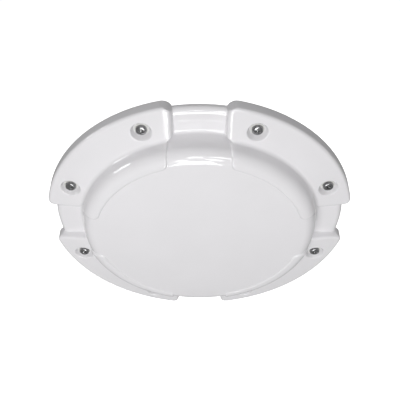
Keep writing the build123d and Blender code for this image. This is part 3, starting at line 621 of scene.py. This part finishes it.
def pocket_patch(points, centre_angle, first_line):
    """Points and faces of one pocket, from the front's gap down to the underside's. The first rings
    mix the gap's outline with a circle, by a share that grows from ring to ring. The others are
    circles, as high as the pocket's section says between its floor and the pad's top."""
    outer = block_outline(FIRST_POCKET_ROW, first_line, POCKET_ROWS, POCKET_LINES)
    under = block_outline(FIRST_HOLE_ROW, first_line, POCKET_ROWS, POCKET_LINES)
    centre = np.array([SCREW_CIRCLE * math.sin(centre_angle), SCREW_CIRCLE * math.cos(centre_angle)])
    flat = points[outer][:, [0, 2]] / MM - centre
    spokes = np.unwrap(np.arctan2(flat[:, 1], flat[:, 0]))
    turning = np.sign(spokes[-1] - spokes[0]) * 2 * math.pi
    even = spokes[0] + turning * np.arange(len(outer)) / len(outer)
    unit = np.stack([np.cos(even), np.sin(even)], axis=-1)
    rings = []
    for share in (0.25, 0.5, 0.75, 1.0):
        plan = centre + flat * (1 - share) + unit * pocket_line[0, 0] * share
        rings.append((plan, pad_height(np.hypot(*plan.T))))
    for reach, up in pocket_line[1:]:
        plan = centre + unit * reach
        rings.append((plan, SINK_FLOOR + (pad_height(np.hypot(*plan.T)) - SINK_FLOOR) * up))
    rings.append((centre + unit * HOLE_R, np.full(len(unit), SEAT)))
    new = [np.stack([plan[:, 0], -height, plan[:, 1]], axis=-1) * MM for plan, height in rings]
    loops = [outer]
    for k in range(len(rings)):
        loops.append(len(points) + k * len(outer) + np.arange(len(outer)))
    loops.append(under)
    faces = []
    for here, beyond in zip(loops[:-1], loops[1:]):
        faces.append(np.stack([here, np.roll(here, -1), np.roll(beyond, -1), beyond], axis=-1))
    return np.concatenate(new), np.concatenate(faces)


# %% The whole cover
def cover_mesh():
    """Points and faces of the closed shell: grid cells, pocket patches and the two poles."""
    points = grid_points.reshape(-1, 3)
    quarter = 2 * LINES
    pockets = []
    for k in range(4):
        pockets.append((k * quarter + FIRST_POCKET_LINE, k * 90 + 22.5))
        pockets.append(((k + 1) * quarter - FIRST_POCKET_LINE - POCKET_LINES, k * 90 + 67.5))
    row, line = np.meshgrid(np.arange(ROWS - 1), np.arange(ROUND), indexing="ij")
    left_out = np.zeros(row.shape, bool)
    for first_line, _ in pockets:
        for first_row in (FIRST_POCKET_ROW, FIRST_HOLE_ROW):
            left_out[first_row : first_row + POCKET_ROWS, first_line : first_line + POCKET_LINES] = True
    here = (row * ROUND + line)[~left_out]
    beside = (row * ROUND + (line + 1) % ROUND)[~left_out]
    faces = [np.stack([here, beside, beside + ROUND, here + ROUND], axis=-1)]
    for first_line, degrees in pockets:
        new, patch = pocket_patch(points, math.radians(degrees), first_line)
        points = np.vstack([points, new])
        faces.append(patch)
    front_pole, back_pole = len(points), len(points) + 1
    points = np.vstack([points, place(0.0, 0.0, np.array([DOME_TOP, DOME_TOP - COVER_WALL]))])
    first = np.arange(ROUND)
    after = (first + 1) % ROUND
    last = (ROWS - 1) * ROUND
    faces.append(np.stack([np.full(ROUND, front_pole), after, first, first], axis=-1))
    faces.append(np.stack([np.full(ROUND, back_pole), last + first, last + after, last + after], axis=-1))
    return points, np.concatenate(faces)


cover_points, cover_faces = cover_mesh()
cover = make_piece("opal_cover", cover_points, cover_faces, "lamp", ["front_cover"])

# %% [markdown]
# ## Finishes: one recipe, many materials
# Every finish here is made from the same few nodes, so one recipe serves them all and a new finish
# is one more line. A slow noise in object coordinates drifts the colour a little, as moulding flow,
# handling and age do. A fine noise drifts the roughness and feeds a bump, for the grain of a mould,
# the lay of a rolled sheet or the waviness of a glossy skin. Stretching the noise along one
# direction turns it into rolling marks. What is the same all over, such as the metallic value or
# the coat, is set straight on the shader.

# %% The finish recipe
def noise_node(paint, scale, detail, stretch):
    """Noise on object coordinates, with scale features to a metre. A stretch below 1 along an axis
    makes them longer that way."""
    nodes, links = paint.node_tree.nodes, paint.node_tree.links
    where = nodes.new("ShaderNodeTexCoord")
    mapping = nodes.new("ShaderNodeMapping")
    mapping.inputs["Scale"].default_value = stretch
    noise = nodes.new("ShaderNodeTexNoise")
    noise.inputs["Scale"].default_value = scale
    noise.inputs["Detail"].default_value = detail
    links.new(where.outputs["Object"], mapping.inputs["Vector"])
    links.new(mapping.outputs["Vector"], noise.inputs["Vector"])
    return noise.outputs["Fac"]


def between(paint, factor, low, high):
    """A value that runs from low to high as the noise goes from 0.3 to 0.7."""
    ranged = paint.node_tree.nodes.new("ShaderNodeMapRange")
    for socket, value in (("From Min", 0.3), ("From Max", 0.7), ("To Min", low), ("To Max", high)):
        ranged.inputs[socket].default_value = value
    paint.node_tree.links.new(factor, ranged.inputs["Value"])
    return ranged.outputs["Result"]


def finish(name, dark, light, patch, roughness, grain, depth, stretch=(1, 1, 1), **fixed):
    """A procedural material. dark and light are the two colours it drifts between over patches of
    that many millimetres, roughness is a range, and grain and depth are the bump's in millimetres."""
    paint = bpy.data.materials.new(name)
    paint.use_nodes = True
    nodes, links = paint.node_tree.nodes, paint.node_tree.links
    shader = nodes["Principled BSDF"]
    slow = noise_node(paint, 1000 / patch, 3, stretch)
    mix = nodes.new("ShaderNodeMix")
    mix.data_type = "RGBA"
    mix.inputs["A"].default_value = (*dark, 1)
    mix.inputs["B"].default_value = (*light, 1)
    links.new(between(paint, slow, 0, 1), mix.inputs["Factor"])
    links.new(mix.outputs["Result"], shader.inputs["Base Color"])
    fine = noise_node(paint, 1000 / grain, 2, stretch)
    links.new(between(paint, fine, *roughness), shader.inputs["Roughness"])
    bump = nodes.new("ShaderNodeBump")
    bump.inputs["Distance"].default_value = depth * MM
    links.new(fine, bump.inputs["Height"])
    links.new(bump.outputs["Normal"], shader.inputs["Normal"])
    for socket, value in fixed.items():
        shader.inputs[socket.replace("_", " ")].default_value = value
    return paint


ALONG_Z = (1, 1, 0.06)
FINISHES = {
    "opal_cover": finish("opal polycarbonate", (0.765, 0.755, 0.772), (0.782, 0.772, 0.790), 45,
                         (0.045, 0.075), 9, 0.012, IOR=1.58, Specular_IOR_Level=0.5),
    "housing_plastic": finish("white moulded housing", (0.68, 0.68, 0.675), (0.72, 0.72, 0.715), 30,
                              (0.34, 0.44), 0.7, 0.03),
    "bracket_plastic": finish("grained bracket plastic", (0.60, 0.60, 0.592), (0.65, 0.65, 0.64), 22,
                              (0.46, 0.60), 0.5, 0.05),
    "silicone_seal": finish("grey silicone", (0.33, 0.33, 0.31), (0.37, 0.37, 0.35), 9,
                            (0.5, 0.62), 0.4, 0.02),
    "brass_insert": finish("machined brass", (0.57, 0.38, 0.13), (0.66, 0.46, 0.18), 3,
                           (0.2, 0.34), 0.25, 0.01, Metallic=1.0),
    "nylon_washer": finish("natural nylon", (0.60, 0.60, 0.58), (0.66, 0.66, 0.64), 4,
                           (0.36, 0.48), 0.4, 0.02),
    "stainless_screw": finish("bright stainless steel", (0.30, 0.30, 0.305), (0.42, 0.42, 0.425), 2.5,
                              (0.1, 0.2), 0.5, 0.006, Metallic=1.0),
    "gland_nylon": finish("black nylon", (0.020, 0.020, 0.022), (0.032, 0.032, 0.034), 6,
                          (0.38, 0.5), 0.4, 0.03),
    "gland_rubber": finish("black rubber", (0.010, 0.010, 0.010), (0.018, 0.018, 0.018), 4,
                           (0.6, 0.75), 0.3, 0.02),
    "spreader_aluminium": finish("rolled aluminium", (0.62, 0.62, 0.63), (0.72, 0.72, 0.73), 12,
                                 (0.22, 0.38), 1.2, 0.02, stretch=ALONG_Z, Metallic=1.0),
    "thermal_silicone": finish("thermal pad", (0.15, 0.21, 0.29), (0.19, 0.25, 0.34), 5,
                               (0.6, 0.7), 0.3, 0.02),
    "led_board_white": finish("white solder mask", (0.78, 0.78, 0.75), (0.83, 0.83, 0.80), 14,
                              (0.28, 0.36), 1.5, 0.01),
    "led_phosphor": finish("yellow phosphor", (0.78, 0.52, 0.05), (0.86, 0.62, 0.09), 1,
                           (0.3, 0.4), 0.15, 0.005, Coat_Weight=0.5),
    "connector_white": finish("connector nylon", (0.70, 0.68, 0.62), (0.76, 0.74, 0.68), 5,
                              (0.36, 0.46), 0.4, 0.02),
    "reflector_white": finish("reflector plastic", (0.83, 0.83, 0.81), (0.87, 0.87, 0.85), 25,
                              (0.2, 0.28), 2, 0.01),
    "circuit_board": finish("green circuit board", (0.010, 0.085, 0.030), (0.018, 0.125, 0.045), 2.2,
                            (0.24, 0.4), 0.6, 0.02),
    "component_black": finish("moulded epoxy", (0.012, 0.012, 0.013), (0.022, 0.022, 0.023), 2,
                              (0.4, 0.55), 0.2, 0.02),
    "capacitor_sleeve": finish("capacitor sleeve", (0.012, 0.014, 0.05), (0.02, 0.022, 0.075), 4,
                               (0.22, 0.3), 0.8, 0.01),
    "terminal_green": finish("terminal plastic", (0.02, 0.20, 0.045), (0.03, 0.25, 0.06), 4,
                             (0.36, 0.46), 0.4, 0.02),
    "lead_red": finish("red wire sleeve", (0.40, 0.010, 0.010), (0.50, 0.018, 0.016), 5,
                       (0.35, 0.45), 0.5, 0.01),
    "lead_black": finish("black wire sleeve", (0.012, 0.012, 0.012), (0.02, 0.02, 0.02), 5,
                         (0.35, 0.45), 0.5, 0.01),
}
cover.data.materials.append(FINISHES["opal_cover"])
print(len(FINISHES), "finishes")

# %% [markdown]
# ## The parts that keep their engineering shape
# Most nodes of the engineering model are already right, and need only their finish. The visible
# ones behind the lamp were moulded, so their edges aren't razor sharp. They could be worked out
# afresh, but their shape is already exact. So a copy of the node is merged into one surface, its
# flat areas become single faces again, and a narrow bevel rounds every edge. The copy then stands
# for the node.

# %% Finishes on the engineering nodes
NODE_FINISHES = {
    "cover_gasket": "silicone_seal",
    "threaded_inserts": "brass_insert",
    "screw_washers": "nylon_washer",
    "gland_seal": "gland_rubber",
    "gland_washer": "gland_rubber",
    "gland_locknut": "gland_nylon",
    "heat_spreader": "spreader_aluminium",
    "thermal_pad": "thermal_silicone",
    "led_board": "led_board_white",
    "led_chips": "led_phosphor",
    "led_connector": "connector_white",
    "board_screws": "stainless_screw",
    "reflector_ring": "reflector_white",
    "driver_board": "circuit_board",
    "driver_screws": "stainless_screw",
    "driver_inductor": "component_black",
    "driver_capacitors": "capacitor_sleeve",
    "bridge_rectifier": "component_black",
    "driver_controller": "component_black",
    "supply_terminal": "terminal_green",
    "output_connector": "connector_white",
    "led_lead_positive": "lead_red",
    "led_lead_negative": "lead_black",
}
for node, slot in NODE_FINISHES.items():
    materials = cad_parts[node].data.materials
    materials.clear()
    materials.append(FINISHES[slot])
print(len(NODE_FINISHES), "nodes keep their shape")


# %% Moulded parts with eased edges
MERGE_WITHIN = 0.005
FLAT_WITHIN = math.radians(0.5)
BEVEL_FROM = math.radians(35)
SMOOTH_UP_TO = math.radians(50)


def eased_copy(node, name, body, slot, edge):
    """A copy of a node as one welded surface, with each edge sharper than 35 degrees rounded by a
    bevel of that many millimetres, kept narrower where two edges are close."""
    piece = bpy.data.objects.new(name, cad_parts[node].data.copy())
    bpy.context.scene.collection.objects.link(piece)
    welded = bmesh.new()
    welded.from_mesh(piece.data)
    bmesh.ops.remove_doubles(welded, verts=welded.verts, dist=MERGE_WITHIN * MM)
    bmesh.ops.dissolve_limit(welded, angle_limit=FLAT_WITHIN, verts=welded.verts, edges=welded.edges)
    welded.to_mesh(piece.data)
    welded.free()
    piece.data.materials.clear()
    piece.data.materials.append(FINISHES[slot])
    bevel = piece.modifiers.new("eased edges", "BEVEL")
    bevel.width = edge * MM
    bevel.segments = 2
    bevel.angle_limit = BEVEL_FROM
    bevel.use_clamp_overlap = True
    piece.data.polygons.foreach_set("use_smooth", np.ones(len(piece.data.polygons), bool))
    piece.data.set_sharp_from_angle(angle=SMOOTH_UP_TO)
    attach(piece, body)
    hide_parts(node)
    print(f"{name}: {len(piece.data.polygons)} faces before the bevel")


eased_copy("rear_housing", "moulded_housing", "lamp", "housing_plastic", 0.35)
eased_copy("wall_bracket", "moulded_bracket", "bracket", "bracket_plastic", 0.4)
eased_copy("gland_body", "moulded_gland", "lamp", "gland_nylon", 0.25)
eased_copy("gland_cap", "moulded_gland_cap", "lamp", "gland_nylon", 0.3)

# %% [markdown]
# ## The cover screws
# Each pocket holds a pan-head machine screw with a cross recess. The recess could be cut with a
# boolean, but pressing it into the head's own grid keeps the mesh clean. The head is a profile
# turned round its axis: where a point lies inside one of two crossed bars, the height drops, less
# towards the bars' ends. Behind the head the radius rises and falls once to each pitch as we go
# along and round, and that is the thread. Screws stop where they are tight, so every cross stands
# at its own angle.

# %% Cover screws
near_r, far_r, SCREW_TIP, HEAD_TOP = measure("cover_screws")
HEAD_R = (far_r - near_r) / 2
THREAD_R = 2.5
THREAD_DEPTH = 0.45
PITCH = 0.8
RECESS_HALF_SPAN = 2.7
RECESS_HALF_ARM = 0.62
RECESS_DEPTH = 2.0
RECESS_WALL = 0.3
RECESS_RINGS = 24
THREAD_RINGS = 100
POINT_LENGTH = 1.2
AROUND_STEPS = 44
SCREW_COUNT = 8
CROSS_TURN = 2.4                    # radians from one screw's cross to the next one's
head_height = HEAD_TOP - WASHER_TOP
head_line = rounded_line([
    (0.0, head_height, 0),
    (HEAD_R - 0.3, head_height - 0.35, 1.5),
    (HEAD_R, 0, 0.3),
    (THREAD_R, 0, 0),
], steps=6)


def recess_depth(across, up):
    """Depth of the cross at a point of the head: full inside two crossed bars, with sloped walls,
    and shallower by up to half towards the ends of the bars."""
    across, up = np.abs(across), np.abs(up)
    one = np.minimum(RECESS_HALF_SPAN - across, RECESS_HALF_ARM - up)
    other = np.minimum(RECESS_HALF_ARM - across, RECESS_HALF_SPAN - up)
    inside = np.clip(np.maximum(one, other) / RECESS_WALL, 0, 1)
    taper = 1 - 0.5 * np.hypot(across, up) / RECESS_HALF_SPAN
    return RECESS_DEPTH * inside * np.maximum(taper, 0)


def screw_rows(turned):
    """Radius, angle and height of one screw's rows, from the middle of its head to its tip. The
    thread's phase is the distance along in pitches plus the share of a turn, and its radius falls
    with the phase's distance from one half. The last stretch narrows to a blunt point."""
    around = np.arange(AROUND_STEPS) * 2 * math.pi / AROUND_STEPS
    top_r = np.linspace(0.12, RECESS_HALF_SPAN + 0.2, RECESS_RINGS)[:, None]
    top = np.interp(top_r, head_line[:2, 0], head_line[:2, 1])
    top = top - recess_depth(top_r * np.cos(around - turned), top_r * np.sin(around - turned))
    side_r, side = head_line[1:, 0][:, None], head_line[1:, 1][:, None]
    along = np.linspace(0, SCREW_TIP - WASHER_TOP, THREAD_RINGS)[:, None]
    phase = (along / PITCH + around / (2 * math.pi)) % 1
    tip = np.clip((along - (SCREW_TIP - WASHER_TOP)) / POINT_LENGTH, 0, 1)
    thread_r = (THREAD_R - THREAD_DEPTH * np.abs(2 * phase - 1)) * (0.6 + 0.4 * tip)
    wide = [np.broadcast_to(part, (len(part), AROUND_STEPS)) for part in (top_r, side_r, thread_r)]
    high = [np.broadcast_to(part, (len(part), AROUND_STEPS)) for part in (top, side, along)]
    return np.vstack(wide), around, np.vstack(high)


def closed_turning(radius, around, height):
    """Points (across, up, out) and faces of rows of rings, with a pole at either end."""
    rings, steps = radius.shape
    points = np.stack([radius * np.cos(around), radius * np.sin(around), height], axis=-1).reshape(-1, 3)
    row, step = np.meshgrid(np.arange(rings - 1), np.arange(steps), indexing="ij")
    row, step = row.ravel(), step.ravel()
    beside = (step + 1) % steps
    walls = np.stack([row * steps + step, row * steps + beside,
                      (row + 1) * steps + beside, (row + 1) * steps + step], axis=-1)
    ring = np.arange(steps)
    first = np.full(steps, len(points))
    last = np.full(steps, len(points) + 1)
    end = (rings - 1) * steps
    caps = [np.stack([first, (ring + 1) % steps, ring, ring], axis=-1),
            np.stack([last, end + ring, end + (ring + 1) % steps, end + (ring + 1) % steps], axis=-1)]
    poles = [[0, 0, height[0].mean()], [0, 0, height[-1].mean()]]
    return np.vstack([points, poles]), np.concatenate([walls, *caps])


screw_points, screw_faces = [], []
for k in range(SCREW_COUNT):
    points, faces = closed_turning(*screw_rows(CROSS_TURN * k))
    centre = place(SCREW_CIRCLE, (k + 0.5) * 2 * math.pi / SCREW_COUNT, WASHER_TOP)
    screw_faces.append(faces + sum(len(part) for part in screw_points))
    screw_points.append(centre + points[:, [0, 2, 1]] * [MM, -MM, MM])
screws = make_piece("pan_head_screws", np.vstack(screw_points), np.concatenate(screw_faces), "lamp",
                    ["cover_screws"])
screws.data.materials.append(FINISHES["stainless_screw"])
